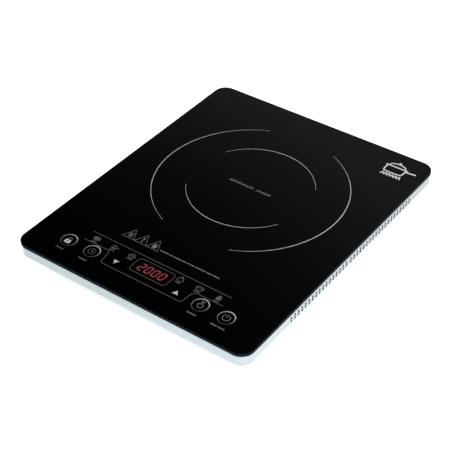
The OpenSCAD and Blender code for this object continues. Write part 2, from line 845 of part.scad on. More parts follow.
module control_bracket() {
    depth = 39;
    hook_z = control_top + 0.1;
    color(resin_black) difference() {
        union() {
            block(0, control_y, bracket_z, [2 * 116, depth, bracket_t]);
            for (p = bracket_places) {
                translate([p[0], p[1], bracket_z]) cylinder(r = 4, h = bracket_t);
                block(p[0] * 0.97, p[1], bracket_z, [6, 8, bracket_t]);
            }
            for (x = [-90, 90], s = [-1, 1]) {
                block(x, control_y + s * (control_d / 2 + 0.8), bracket_z,
                      [6, 1.4, hook_z + 1 - bracket_z]);
                block(x, control_y + s * (control_d / 2 + 0.3), hook_z, [6, 2.4, 1]);
            }
        }
        for (x = [-84, -28, 28, 84]) block(x, control_y, bracket_z - 1, [50, depth - 12, bracket_t + 2]);
        posts(bracket_places, 1.4, bracket_z - 1, bracket_z + bracket_t + 1);
    }
}

module bracket_screws() {
    color(steel) screws(bracket_places, 1.2, 2.6, 1.8, bracket_z + bracket_t, bracket_z - 6);
}

module control_board() {
    color(board_dark) block(0, control_y, control_z, [control_w, control_d, board_t]);
}

// Four-digit light module, just under the glass
module display_module() {
    color(red_plastic) difference() {
        block(0.7, -133, control_top, [44, 18, glass_z - control_top - 0.4]);
        for (i = [0:3]) block(0.7 + (i - 1.5) * 8.4, -133, glass_z - 1, [7, 11, 2]);
    }
}

// Small lamps beside the touch positions
module indicator_lamps() {
    color(nylon_white) for (p = touch_places)
        translate([p[0] + 6.5, p[1], control_top]) cylinder(r = 1.2, h = 2);
}

// Close-wound springs that carry the touch signal from the board up to the glass
module touch_springs() {
    wire = 0.5;
    rise = glass_z - control_top - 2 * wire;
    turns = 6;
    color(steel) for (p = touch_places) translate([p[0], p[1], control_top]) rotate_extrude() {
        for (i = [0:turns - 1]) translate([3.2, wire + i * rise / (turns - 1)]) circle(wire);
        translate([2.9, 0]) square([0.6, glass_z - control_top - wire]);
        translate([0, glass_z - control_top - wire]) square([3.2, wire]);
    }
}

module control_chip() {
    color(resin_black) {
        block(-10, -148, control_top + 0.2, [18, 7.4, 2.2]);
        for (i = [0:6], s = [-1, 1]) block(-17.5 + i * 2.5, -148 + s * 4.2, control_top, [0.8, 1.4, 1]);
    }
}

// Flat cable that rises from the main board to the underside of the control board
module ribbon_cable() {
    t = 1;
    y0 = -122;
    y1 = -142;
    low = board_top + 4;
    high = control_z - 2;
    color(nylon_white) {
        block(9.5, y0, board_top, [12, 4.6, 6]);
        block(9.5, y1, control_z - 4, [12, 4.6, 4]);
        translate([14.5, 0, 0]) rotate([90, 0, -90]) linear_extrude(10) polygon([
            [-y0, low], [-y0 + 9, low], [-y1 - 9, high - t], [-y1, high - t],
            [-y1, high], [-y1 - 9.8, high], [-y0 + 8.2, low + t], [-y0, low + t]
        ]);
    }
}

// ---------------------------------------------------------------- assembly

glass_top();
glass_seal();
upper_frame();
base_tray();
foot_front_left();
foot_front_right();
foot_back_left();
foot_back_right();
housing_screws();
cord_bush();
coil_former();
induction_coil();
ferrite_bars();
mica_sheet();
coil_screws();
sensor_boot();
thermistor();
sensor_lead();
coil_lead_inner();
coil_lead_outer();
main_board();
board_screws();
heatsink();
heatsink_screws();
power_transistor();
bridge_rectifier();
resonant_capacitor();
filter_capacitor();
line_capacitor();
choke_core();
choke_winding();
fuse();
varistor();
current_transformer();
supply_transformer();
smoothing_capacitor_1();
smoothing_capacitor_2();
buzzer();
coil_terminals();
mains_terminals();
fan_frame();
fan_stator();
fan_bearing();
fan_rotor();
fan_magnet();
fan_shaft();
fan_screws();
fan_socket();
fan_lead();
control_bracket();
bracket_screws();
control_board();
display_module();
indicator_lamps();
touch_springs();
control_chip();
ribbon_cable();
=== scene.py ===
"""Looks of a portable electric induction cooktop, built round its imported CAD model.

Lengths are in metres and in the CAD frame. Only the flat prints on the glass have units of their
own: they are drawn from the middle of the plate, x to the right and y to the back, in print units
that are all but millimetres, PLATE_UNITS of them to the plate's width.
"""

import json
import math

import bmesh
import bpy
from mathutils import Matrix, Vector


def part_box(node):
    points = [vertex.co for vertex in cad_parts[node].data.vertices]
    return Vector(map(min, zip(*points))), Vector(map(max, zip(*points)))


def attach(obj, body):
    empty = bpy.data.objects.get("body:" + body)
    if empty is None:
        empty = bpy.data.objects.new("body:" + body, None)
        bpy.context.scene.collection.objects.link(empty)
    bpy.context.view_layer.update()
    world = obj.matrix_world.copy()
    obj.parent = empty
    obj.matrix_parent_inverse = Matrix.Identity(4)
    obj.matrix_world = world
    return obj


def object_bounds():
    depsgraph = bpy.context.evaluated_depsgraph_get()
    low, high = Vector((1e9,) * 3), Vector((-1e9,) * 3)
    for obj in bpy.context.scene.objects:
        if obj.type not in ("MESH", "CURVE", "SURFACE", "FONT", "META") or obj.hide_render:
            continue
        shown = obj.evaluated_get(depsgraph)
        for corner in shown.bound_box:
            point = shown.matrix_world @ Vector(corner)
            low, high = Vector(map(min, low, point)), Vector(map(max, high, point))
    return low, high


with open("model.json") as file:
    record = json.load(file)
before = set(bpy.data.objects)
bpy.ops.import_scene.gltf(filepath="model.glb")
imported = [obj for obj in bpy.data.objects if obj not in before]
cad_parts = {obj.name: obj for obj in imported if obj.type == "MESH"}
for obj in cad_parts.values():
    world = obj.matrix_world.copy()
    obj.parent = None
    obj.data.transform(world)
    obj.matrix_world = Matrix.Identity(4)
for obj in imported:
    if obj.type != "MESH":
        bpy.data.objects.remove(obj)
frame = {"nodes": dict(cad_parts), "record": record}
cad_low, cad_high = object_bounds()

MM = 0.001
PLATE_UNITS = 282.4              # print units across the plate
PRINT_SHIFT = (-0.35, 0.3)       # from the plate's middle to the prints' origin, in print units

scene = bpy.context.scene
node_slots = {part["node"]: part["material_slot"] for part in frame["record"]["subparts"]}
glass_low, glass_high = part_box("glass_top")
# The middle of the plate's top face.
PLATE = Vector(((glass_low.x + glass_high.x) / 2, (glass_low.y + glass_high.y) / 2, glass_high.z))
UNIT = (glass_high.x - glass_low.x) / PLATE_UNITS
PRINT = PLATE + Vector((*PRINT_SHIFT, 0.0)) * UNIT


# ---------------------------------------------------------------- materials

NOISE_LOW, NOISE_HIGH = 0.3, 0.7    # nearly all of a noise's heights lie between these


def node_tree(name):
    """A new material, its node tree, its Principled shader and its object-space coordinates."""
    mat = bpy.data.materials.new(name)
    mat.use_nodes = True
    tree = mat.node_tree
    shader = next(n for n in tree.nodes if n.type == "BSDF_PRINCIPLED")
    where = tree.nodes.new("ShaderNodeTexCoord").outputs["Object"]
    return mat, tree, shader, where


def axes(tree, where):
    """The X, Y and Z of coordinates, by name."""
    node = tree.nodes.new("ShaderNodeSeparateXYZ")
    tree.links.new(where, node.inputs["Vector"])
    return node.outputs


def noise(tree, where, scale, detail=3.0, stretch=None):
    """The height of a noise whose grain is 1/scale metres; stretch scales its axes one by one."""
    if stretch:
        mapping = tree.nodes.new("ShaderNodeMapping")
        mapping.inputs["Scale"].default_value = stretch
        tree.links.new(where, mapping.inputs["Vector"])
        where = mapping.outputs["Vector"]
    node = tree.nodes.new("ShaderNodeTexNoise")
    node.inputs["Scale"].default_value = scale
    node.inputs["Detail"].default_value = detail
    tree.links.new(where, node.inputs["Vector"])
    return node.outputs["Fac"]


def ramp(tree, height, stops):
    """Colours over a height: stops are (height, (r, g, b))."""
    node = tree.nodes.new("ShaderNodeValToRGB")
    while len(node.color_ramp.elements) < len(stops):
        node.color_ramp.elements.new(0.5)
    for element, (place, colour) in zip(node.color_ramp.elements, stops):
        element.position = place
        element.color = (*colour, 1.0)
    tree.links.new(height, node.inputs["Fac"])
    return node.outputs["Color"]


def mottled(tree, height, dark, light):
    """Colours from dark to light over a noise's height."""
    return ramp(tree, height, [(NOISE_LOW, dark), (NOISE_HIGH, light)])


def spread(tree, height, low, high):
    """A noise's height spread over low to high."""
    node = tree.nodes.new("ShaderNodeMapRange")
    node.inputs["From Min"].default_value = NOISE_LOW
    node.inputs["From Max"].default_value = NOISE_HIGH
    node.inputs["To Min"].default_value = low
    node.inputs["To Max"].default_value = high
    tree.links.new(height, node.inputs["Value"])
    return node.outputs["Result"]


def times(tree, *values):
    """The product of values."""
    result = values[0]
    for value in values[1:]:
        node = tree.nodes.new("ShaderNodeMath")
        node.operation = "MULTIPLY"
        tree.links.new(result, node.inputs[0])
        tree.links.new(value, node.inputs[1])
        result = node.outputs["Value"]
    return result


def between(tree, value, low, high):
    """1 where a value is from low to high, 0 elsewhere."""
    nodes = []
    for operation, edge in (("GREATER_THAN", low), ("LESS_THAN", high)):
        node = tree.nodes.new("ShaderNodeMath")
        node.operation = operation
        node.inputs[1].default_value = edge
        tree.links.new(value, node.inputs[0])
        nodes.append(node.outputs["Value"])
    return times(tree, *nodes)


def blend(tree, kind, first, second):
    """Two colours joined by a Mix node of that kind."""
    node = tree.nodes.new("ShaderNodeMix")
    node.data_type, node.blend_type = "RGBA", kind
    node.inputs["Factor"].default_value = 1.0
    tree.links.new(first, node.inputs["A"])
    tree.links.new(second, node.inputs["B"])
    return node.outputs["Result"]


def bump(tree, shader, height, depth):
    """Relief of depth metres from a height."""
    node = tree.nodes.new("ShaderNodeBump")
    node.inputs["Strength"].default_value = 1.0
    node.inputs["Distance"].default_value = depth
    tree.links.new(height, node.inputs["Height"])
    tree.links.new(node.outputs["Normal"], shader.inputs["Normal"])


def surface(name, dark, light, rough, metallic=0.0, scale=300, grain=2000, depth=0.02,
            specular=0.5, stretch=None):
    """A colour mottled from dark to light, a roughness from rough[0] to rough[1], a fine grain.

    Mottles are 1/scale metres and grains 1/grain metres across; depth is the grain's, in mm.
    """
    mat, tree, shader, where = node_tree(name)
    mottle = noise(tree, where, scale, stretch=stretch)
    tree.links.new(mottled(tree, mottle, dark, light), shader.inputs["Base Color"])
    tree.links.new(spread(tree, mottle, *rough), shader.inputs["Roughness"])
    bump(tree, shader, noise(tree, where, grain, stretch=stretch), depth * MM)
    shader.inputs["Metallic"].default_value = metallic
    shader.inputs["Specular IOR Level"].default_value = specular
    return mat


EDGE_FOOT, EDGE_TOP = 1.6, 0.1    # mm below the plate's top, where its edge turns black
EDGE_ROUGHNESS = 0.6


def glass_material():
    """Black ceramic glass: a deep black face, and a ground edge whose dark blue is partly the
    glass's tint and partly a painted reflection.
    """
    mat, tree, shader, where = node_tree("black_ceramic_glass")
    edge = tree.nodes.new("ShaderNodeMapRange")
    edge.inputs["From Min"].default_value = PLATE.z - EDGE_FOOT * MM
    edge.inputs["From Max"].default_value = PLATE.z - EDGE_TOP * MM
    tree.links.new(axes(tree, where)["Z"], edge.inputs["Value"])
    # Painted reflection: the edge's dark blue, fading to black towards the face, stands partly for
    # what the edge mirrors.
    colour = ramp(tree, edge.outputs["Result"], [(0.0, (0.0018, 0.0085, 0.015)),
                                                 (0.7, (0.0010, 0.006, 0.010)),
                                                 (1.0, (0.0003, 0.0003, 0.0004))])
    tree.links.new(colour, shader.inputs["Base Color"])
    polish = tree.nodes.new("ShaderNodeMix")
    polish.inputs["A"].default_value = EDGE_ROUGHNESS
    tree.links.new(edge.outputs["Result"], polish.inputs["Factor"])
    tree.links.new(spread(tree, noise(tree, where, 18), 0.05, 0.09), polish.inputs["B"])
    tree.links.new(polish.outputs["Result"], shader.inputs["Roughness"])
    bump(tree, shader, noise(tree, where, 60, 2.0), 0.004 * MM)
    shader.inputs["IOR"].default_value = 1.5
    shader.inputs["Specular IOR Level"].default_value = 0.02
    return mat


VENT_SHADE_DEPTH = 0.08                # mm that the silver reaches into the vents, before their painted shade starts
VENTS_END = 24                    # mm from the band's front and back to where its vents may start
VENTS_LOW, VENTS_HIGH = 9.8, 0.9  # mm from the band's top down to below and above its vents


def silver_material():
    """Silver paint on a dark moulding: fine bright flakes outside, and in the vents bare plastic
    darkened further as painted shade.
    """
    mat, tree, shader, where = node_tree("silver_flake_paint")
    flakes = tree.nodes.new("ShaderNodeTexVoronoi")
    flakes.inputs["Scale"].default_value = 5200
    tree.links.new(where, flakes.inputs["Vector"])
    paint = ramp(tree, flakes.outputs["Distance"],
                 [(0.15, (0.425, 0.48, 0.507)), (0.6, (0.36, 0.42, 0.441))])
    at = axes(tree, where)
    low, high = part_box("upper_frame")
    deep = high.x - VENT_SHADE_DEPTH * MM
    # Painted shade: deeper than the silver reaches, the vents' walls take a near-black teal that
    # stands for bare plastic and for the shade inside the holes.
    bare_vents_and_shade = times(
        tree, between(tree, at["X"], -deep, deep),
        between(tree, at["Y"], low.y + VENTS_END * MM, high.y - VENTS_END * MM),
        between(tree, at["Z"], high.z - VENTS_LOW * MM, high.z - VENTS_HIGH * MM))
    mix = tree.nodes.new("ShaderNodeMix")
    mix.data_type = "RGBA"
    tree.links.new(bare_vents_and_shade, mix.inputs["Factor"])
    tree.links.new(paint, mix.inputs["A"])
    mix.inputs["B"].default_value = (0.007, 0.014, 0.018, 1.0)
    tree.links.new(mix.outputs["Result"], shader.inputs["Base Color"])
    tree.links.new(spread(tree, noise(tree, where, 700), 0.34, 0.44), shader.inputs["Roughness"])
    bump(tree, shader, noise(tree, where, 1500, 2.0), 0.004 * MM)
    shader.inputs["Metallic"].default_value = 0.55
    shader.inputs["Coat Weight"].default_value = 0.15
    shader.inputs["Coat Roughness"].default_value = 0.12
    return mat


def ink_material():
    """Screen print: its grey comes from the mesh, a little uneven as ink on glass is."""
    mat, tree, shader, where = node_tree("screen_print")
    tone = tree.nodes.new("ShaderNodeAttribute")
    tone.attribute_name = "ink"
    uneven = mottled(tree, noise(tree, where, 900), (0.80, 0.81, 0.83), (0.92, 0.92, 0.92))
    tree.links.new(blend(tree, "MULTIPLY", tone.outputs["Color"], uneven),
                   shader.inputs["Base Color"])
    shader.inputs["Roughness"].default_value = 0.55
    shader.inputs["Specular IOR Level"].default_value = 0.2
    bump(tree, shader, noise(tree, where, 2600), 0.006 * MM)
    return mat


def glow_material():
    """Lit red of the display, a little uneven."""
    mat, tree, shader, where = node_tree("display_glow")
    colour = mottled(tree, noise(tree, where, 500), (0.26, 0.007, 0.024), (0.34, 0.012, 0.037))
    tree.links.new(colour, shader.inputs["Emission Color"])
    shader.inputs["Emission Strength"].default_value = 1.0
    shader.inputs["Base Color"].default_value = (0.05, 0.002, 0.004, 1.0)
    tree.links.new(spread(tree, noise(tree, where, 900), 0.35, 0.5), shader.inputs["Roughness"])
    return mat


def board_material():
    """Green solder mask with slightly raised tracks."""
    mat, tree, shader, where = node_tree("solder_mask")
    tracks = tree.nodes.new("ShaderNodeTexBrick")
    tracks.inputs["Scale"].default_value = 150
    tracks.inputs["Mortar Size"].default_value = 0.05
    for socket, value in (("Color1", 0.2), ("Color2", 0.35), ("Mortar", 1.0)):
        tracks.inputs[socket].default_value = (value, value, value, 1.0)
    tree.links.new(where, tracks.inputs["Vector"])
    green = ramp(tree, tracks.outputs["Color"], [(0.1, (0.010, 0.075, 0.030)),
                                                 (0.4, (0.015, 0.11, 0.04)),
                                                 (0.9, (0.05, 0.24, 0.10))])
    tree.links.new(green, shader.inputs["Base Color"])
    tree.links.new(spread(tree, noise(tree, where, 400), 0.3, 0.42), shader.inputs["Roughness"])
    bump(tree, shader, tracks.outputs["Color"], 0.03 * MM)
    return mat


PLATED = dict(metallic=1.0, scale=500, grain=3000, depth=0.01)
LOOKS = {
    "glass": glass_material(),
    "silver_paint": silver_material(),
    "tray_plastic": surface(
        "tray_grain_plastic", (0.020, 0.021, 0.023), (0.034, 0.035, 0.038), (0.42, 0.6),
        grain=2400, depth=0.04),
    "black_rubber": surface(
        "foot_rubber", (0.010, 0.010, 0.010), (0.022, 0.022, 0.021), (0.75, 0.9),
        grain=1600, depth=0.04, specular=0.3),
    "zinc_steel": surface(
        "zinc_plate", (0.50, 0.52, 0.53), (0.68, 0.69, 0.68), (0.25, 0.4), **PLATED),
    "brass": surface(
        "brass_tag", (0.60, 0.43, 0.17), (0.78, 0.58, 0.27), (0.25, 0.4), **PLATED),
    "copper_wire": surface(
        "enamelled_wire", (0.45, 0.15, 0.055), (0.68, 0.28, 0.12), (0.25, 0.4),
        metallic=0.9, scale=900, grain=1400, depth=0.1),
    "aluminium": surface(
        "extruded_aluminium", (0.60, 0.61, 0.62), (0.76, 0.77, 0.78), (0.25, 0.45),
        metallic=1.0, scale=700, grain=2200, stretch=(0.05, 1.0, 1.0)),
    "ferrite": surface(
        "sintered_ferrite", (0.018, 0.018, 0.020), (0.055, 0.055, 0.058), (0.55, 0.75),
        grain=1800, depth=0.05),
    "mica": surface(
        "mica_flakes", (0.42, 0.33, 0.20), (0.68, 0.58, 0.40), (0.3, 0.5),
        scale=180, grain=700, depth=0.04),
    "nylon": surface("natural_nylon", (0.62, 0.59, 0.50), (0.74, 0.71, 0.62), (0.42, 0.55)),
    "board": board_material(),
    "resin": surface("brown_resin", (0.10, 0.045, 0.018), (0.19, 0.09, 0.04), (0.3, 0.45)),
    "film_yellow": surface("yellow_film", (0.62, 0.42, 0.05), (0.74, 0.53, 0.09), (0.25, 0.38)),
    "film_blue": surface("blue_sleeve", (0.02, 0.06, 0.24), (0.04, 0.10, 0.34), (0.28, 0.4)),
    "black_plastic": surface(
        "black_moulding", (0.010, 0.010, 0.011), (0.022, 0.022, 0.024), (0.38, 0.55),
        grain=2200, depth=0.03),
    "red_filter": surface("red_filter", (0.10, 0.004, 0.006), (0.17, 0.010, 0.014), (0.12, 0.2)),
}
ink = ink_material()
glow = glow_material()


# ---------------------------------------------------------------- flat shapes

CAP_STEPS = 6       # straight parts of a line's round end
WIDEST_MITRE = 2    # a line's corner is never wider than this many of its widths


def stroke(points, width, closed=False):
    """A line of that width (a number, or one for each point) along points: (corners, faces)."""
    count = len(points)
    widths = list(width) if hasattr(width, "__len__") else [width] * count
    corners, faces = [], []
    for i, (x, y) in enumerate(points):
        before = points[i - 1] if i or closed else points[i]
        after = points[(i + 1) % count] if i < count - 1 or closed else points[i]
        a = Vector((x - before[0], y - before[1]))
        b = Vector((after[0] - x, after[1] - y))
        a = a.normalized() if a.length > 1e-9 else b.normalized()
        b = b.normalized() if b.length > 1e-9 else a
        along = (a + b).normalized()
        mitre = 1 / max(1 / WIDEST_MITRE, along.dot(b))
        side = Vector((-along.y, along.x)) * widths[i] / 2 * mitre
        corners += [(x + side.x, y + side.y), (x - side.x, y - side.y)]
    for i in range(count if closed else count - 1):
        j = (i + 1) % count
        faces.append([2 * i, 2 * i + 1, 2 * j + 1, 2 * j])
    if not closed:
        for end, towards in ((0, 1), (count - 1, count - 2)):
            x, y = points[end]
            out = math.atan2(y - points[towards][1], x - points[towards][0])
            first, last = (2 * end, 2 * end + 1) if end else (2 * end + 1, 2 * end)
            cap = [last]
            for k in range(1, CAP_STEPS):
                angle = out - math.pi / 2 + math.pi * k / CAP_STEPS
                cap.append(len(corners))
                corners.append((x + widths[end] / 2 * math.cos(angle),
                                y + widths[end] / 2 * math.sin(angle)))
            cap.append(first)
            faces.append(cap)
    return corners, faces


def fill(points):
    """A filled outline: (corners, faces)."""
    return list(points), [list(range(len(points)))]


def arc(cx, cy, r, start, end, steps=24, ry=None):
    """Points along a circle, or an ellipse of half-height ry, from start to end in degrees."""
    ry = ry or r
    angles = [math.radians(start + (end - start) * i / steps) for i in range(steps + 1)]
    return [(cx + r * math.cos(t), cy + ry * math.sin(t)) for t in angles]


def circle(cx, cy, r, steps=40, ry=None):
    """The outline of a circle, or of an ellipse of half-height ry."""
    return arc(cx, cy, r, 0, 360, steps, ry)[:-1]


def rounded(x0, y0, x1, y1, r, steps=6):
    """A rounded rectangle's outline."""
    return (arc(x1 - r, y1 - r, r, 0, 90, steps) + arc(x0 + r, y1 - r, r, 90, 180, steps)
            + arc(x0 + r, y0 + r, r, 180, 270, steps) + arc(x1 - r, y0 + r, r, 270, 360, steps))


def word(x, y, width, height):
    """A plain rounded bar that stands where the real thing has a word."""
    return fill(rounded(x - width / 2, y - height / 2, x + width / 2, y + height / 2,
                        height * 0.35, 4))


def smooth(points, passes=2, closed=False):
    """The same path with its corners cut."""
    for _ in range(passes):
        count = len(points)
        cut = [] if closed else [points[0]]
        for i in range(count if closed else count - 1):
            (ax, ay), (bx, by) = points[i], points[(i + 1) % count]
            cut += [(ax * 0.75 + bx * 0.25, ay * 0.75 + by * 0.25),
                    (ax * 0.25 + bx * 0.75, ay * 0.25 + by * 0.75)]
        points = cut if closed else cut + [points[-1]]
    return points


def moved(points, cx, cy):
    """Points drawn round 0, 0, moved to stand round cx, cy."""
    return [(cx + x, cy + y) for x, y in points]


def tapered(count, middle, end):
    """Widths that swell from end at both tips to middle halfway."""
    return [end + (middle - end) * math.sin(math.pi * i / (count - 1)) ** 1.3
            for i in range(count)]


# ---------------------------------------------------------------- prints on the glass

PRINT_HEIGHT = 0.05      # mm above the glass
PRINT_DEPTH = 0.03       # mm sunk in the glass
LAYER_STEP = 0.004       # mm between shapes that may cross
LAYERS = 8


def print_piece(name, shapes, material=ink):
    """One piece of closed thin prints, from shapes that are ((corners, faces), tone).

    A tone is a grey, or a function that gives the grey at x, y.
    """
    bm = bmesh.new()
    tone_layer = bm.verts.layers.float.new("ink")
    for index, ((corners, faces), tone) in enumerate(shapes):
        top = PLATE.z + (PRINT_HEIGHT + LAYER_STEP * (index % LAYERS)) * MM
        bottom = PLATE.z - PRINT_DEPTH * MM
        outlines = []
        for z in (top, bottom):
            outline = []
            for x, y in corners:
                vert = bm.verts.new((PRINT.x + x * UNIT, PRINT.y + y * UNIT, z))
                vert[tone_layer] = tone(x, y) if callable(tone) else tone
                outline.append(vert)
            outlines.append(outline)
        upper, lower = outlines
        uses = {}
        for face in faces:
            bm.faces.new([upper[i] for i in face])
            bm.faces.new([lower[i] for i in reversed(face)])
            for i, j in zip(face, face[1:] + face[:1]):
                uses.setdefault(frozenset((i, j)), []).append((i, j))
        for found in uses.values():
            if len(found) == 1:
                i, j = found[0]
                bm.faces.new([upper[j], upper[i], lower[i], lower[j]])
    bmesh.ops.recalc_face_normals(bm, faces=bm.faces)
    mesh = bpy.data.meshes.new(name)
    bm.to_mesh(mesh)
    bm.free()
    piece = bpy.data.objects.new(name, mesh)
    scene.collection.objects.link(piece)
    mesh.materials.append(material)
    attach(piece, "housing")


# The cooking zone: four arcs (start and end in degrees), thick in their middles and fine at
# their tips.
ZONE_X, ZONE_Y = 0.0, 32.5
OUTER_R, INNER_R = 104.66, 68.1
ZONE_INK, ZONE_TIP = 0.42, 0.3
zone = []
for radius, start, end, middle in ((OUTER_R, -66.5, 66.5, 1.05), (OUTER_R, 113.5, 246.5, 0.95),
                                   (INNER_R, 31, 149, 0.85), (INNER_R, 211, 329, 0.75)):
    path = arc(ZONE_X, ZONE_Y, radius, start, end, 96)
    zone.append((stroke(path, tapered(len(path), middle, ZONE_TIP)), ZONE_INK))
print_piece("zone_rings", zone)


def coil_line(x0, x1, y, height, loops):
    """Slanted loops of a wire seen from the side."""
    points = []
    steps = loops * 14
    for i in range(steps + 1):
        t = 2 * math.pi * loops * i / steps
        x = x0 + (x1 - x0) * i / steps
        points.append((x + 0.16 * height * math.sin(t), y + height / 2 * -math.cos(t)))
    return points


# A coil line in two runs, in the middle of the zone.
COIL_INK, COIL_WIDTH = 0.22, 0.6
print_piece("zone_mark", [
    (stroke(coil_line(-26.0, 4.6, ZONE_Y - 0.25, 4.0, 9), COIL_WIDTH), COIL_INK),
    (stroke(coil_line(8.6, 26.2, ZONE_Y - 0.75, 3.0, 6), COIL_WIDTH), COIL_INK),
])

# A pan over a coil, in the back right corner.
PAN_X, PAN_Y = 110.0, 146.0
PAN_INK = 0.72


def pan_line(points, width):
    """A line of the pan's picture."""
    return stroke(moved(points, PAN_X, PAN_Y), width), PAN_INK


print_piece("corner_pictogram", [
    pan_line(smooth([(-13, 4), (-13, -5), (-11, -7), (7, -7), (9, -5), (9, 4)], 2), 1.7),
    pan_line([(-14.6, 4.6), (10.6, 4.6)], 1.7),
    pan_line([(10.6, 2.2), (20.5, 3.4)], 2.0),
    pan_line(arc(-2, 5.4, 9.4, 12, 168, 24, 5.2), 1.5),
    (fill(moved(circle(-2, 12.4, 1.5, 24), PAN_X, PAN_Y)), PAN_INK),
    pan_line([(x / 4, -11.3 + 1.7 * math.sin(x * 0.41)) for x in range(-50, 43)], 1.5),
])


# Three triangles with simple marks of their own: waves, a stroke over a dot, and a drop.
WAVES_X, DOT_X, DROP_X = -51.8, -36.5, -21.3
TRIANGLE_TOP, TRIANGLE_FOOT, TRIANGLE_HALF = -91.8, -106.2, 7.3
TRIANGLE_INK, WAVE_INK, DOT_INK, DROP_INK = 0.12, 0.16, 0.24, 0.14


def triangle(x):
    """A triangle's outline with slightly rounded corners."""
    apex = (x, TRIANGLE_TOP)
    left, right = (x - TRIANGLE_HALF, TRIANGLE_FOOT), (x + TRIANGLE_HALF, TRIANGLE_FOOT)
    points = []
    for a, b, c in ((right, apex, left), (apex, left, right), (left, right, apex)):
        for share in (0.05, 0.02):
            points.append((b[0] + (a[0] - b[0]) * share, b[1] + (a[1] - b[1]) * share))
        points.append((b[0] + (c[0] - b[0]) * 0.05, b[1] + (c[1] - b[1]) * 0.05))
    return stroke(points, 0.5, closed=True)


signs = [(triangle(x), TRIANGLE_INK) for x in (WAVES_X, DOT_X, DROP_X)]
for step in (-1.7, 0.0, 1.7):
    wave = [(WAVES_X + step + 0.45 * math.sin(k * 0.9), -104.2 + k * 0.85) for k in range(8)]
    signs.append((stroke(wave, 0.6), WAVE_INK))
signs += [(stroke([(DOT_X, -97.6), (DOT_X, -101.2)], [1.2, 0.7]), DOT_INK),
          (fill(circle(DOT_X, -103.6, 0.65, 20)), DOT_INK)]
drop = [(DROP_X, -96.6), (-23.9, -101.4), (-23.7, -104.0), (DROP_X, -104.9), (-18.9, -104.0),
        (-18.7, -101.4)]
signs.append((fill(smooth(drop, 2, closed=True)), DROP_INK))
print_piece("triangle_marks", signs)

# A row of bars where the real thing has small print, a bar and a gap in each width.
FINE_LEFT, FINE_Y, FINE_HEIGHT, FINE_GAP, FINE_INK = -13.5, -103.2, 1.25, 1.0, 0.13
fine, x = [], FINE_LEFT
for width in (12.2, 4.9, 10.2, 5.8, 4.2, 6.6, 12.8, 7.3, 9.5):
    fine.append((word(x + width / 2, FINE_Y, width - FINE_GAP, FINE_HEIGHT), FINE_INK))
    x += width
print_piece("small_print_bars", fine)

# Thin rules that frame the controls: a straight one above the programs, and a bent one that
# dips round the arrow keys and the display.
RULE_INK, RULE_WIDTH, BORDER_INK = 0.065, 0.65, 0.055
left_run = ([(-85.5, -132.7), (-57, -132.7)] + arc(-57, -138.2, 5.5, 90, 20, 8)
            + [(-50.6, -147.0)] + arc(-47.0, -147.7, 3.2, 190, 270, 6))
right_run = ([(46.3, -150.9)] + arc(46.3, -147.4, 3.5, 270, 350, 6)
             + arc(55.8, -138.0, 5.4, 165, 90, 8) + [(85.0, -132.6)])
print_piece("panel_rules", [
    (stroke([(-85.5, -118.6), (85.5, -118.6)], RULE_WIDTH), RULE_INK),
    (stroke(left_run + right_run, RULE_WIDTH), RULE_INK),
])
print_piece("display_border", [
    (stroke(rounded(-21.6, -142.7, 23.1, -123.2, 4.2), 0.6, closed=True), BORDER_INK),
])

# Six cooking programs above the keys: a steak, a frying pan, a soup pot, a kettle, a casserole
# and a stack of dishes, each with a bar below it.
ICONS_X = STEAK_X, FRYING_X, SOUP_X, KETTLE_X, CASSEROLE_X, STACK_X = (
    -75.5, -52.7, -30.0, 30.0, 52.7, 75.5)
ICON_Y, CAPTION_Y = -125.7, -130.75
ICON_INK, STEAK_INK, FRYING_INK, CAPTION_INK = 0.095, 0.07, 0.06, 0.08


def icon_line(x, points, width, closed=False):
    """A line of the program's picture at x."""
    return stroke(moved(points, x, ICON_Y), width, closed), ICON_INK


def steam(x, rise, size=1.0):
    """A wavy line of steam."""
    wave = [(x + 0.35 * size * math.sin(k * 1.1), ICON_Y + rise + k * 0.42 * size)
            for k in range(7)]
    return stroke(wave, 0.45), ICON_INK


def dish(rise, width, height):
    """A flat dish of the stack."""
    return word(STACK_X, ICON_Y + rise, width, height), ICON_INK


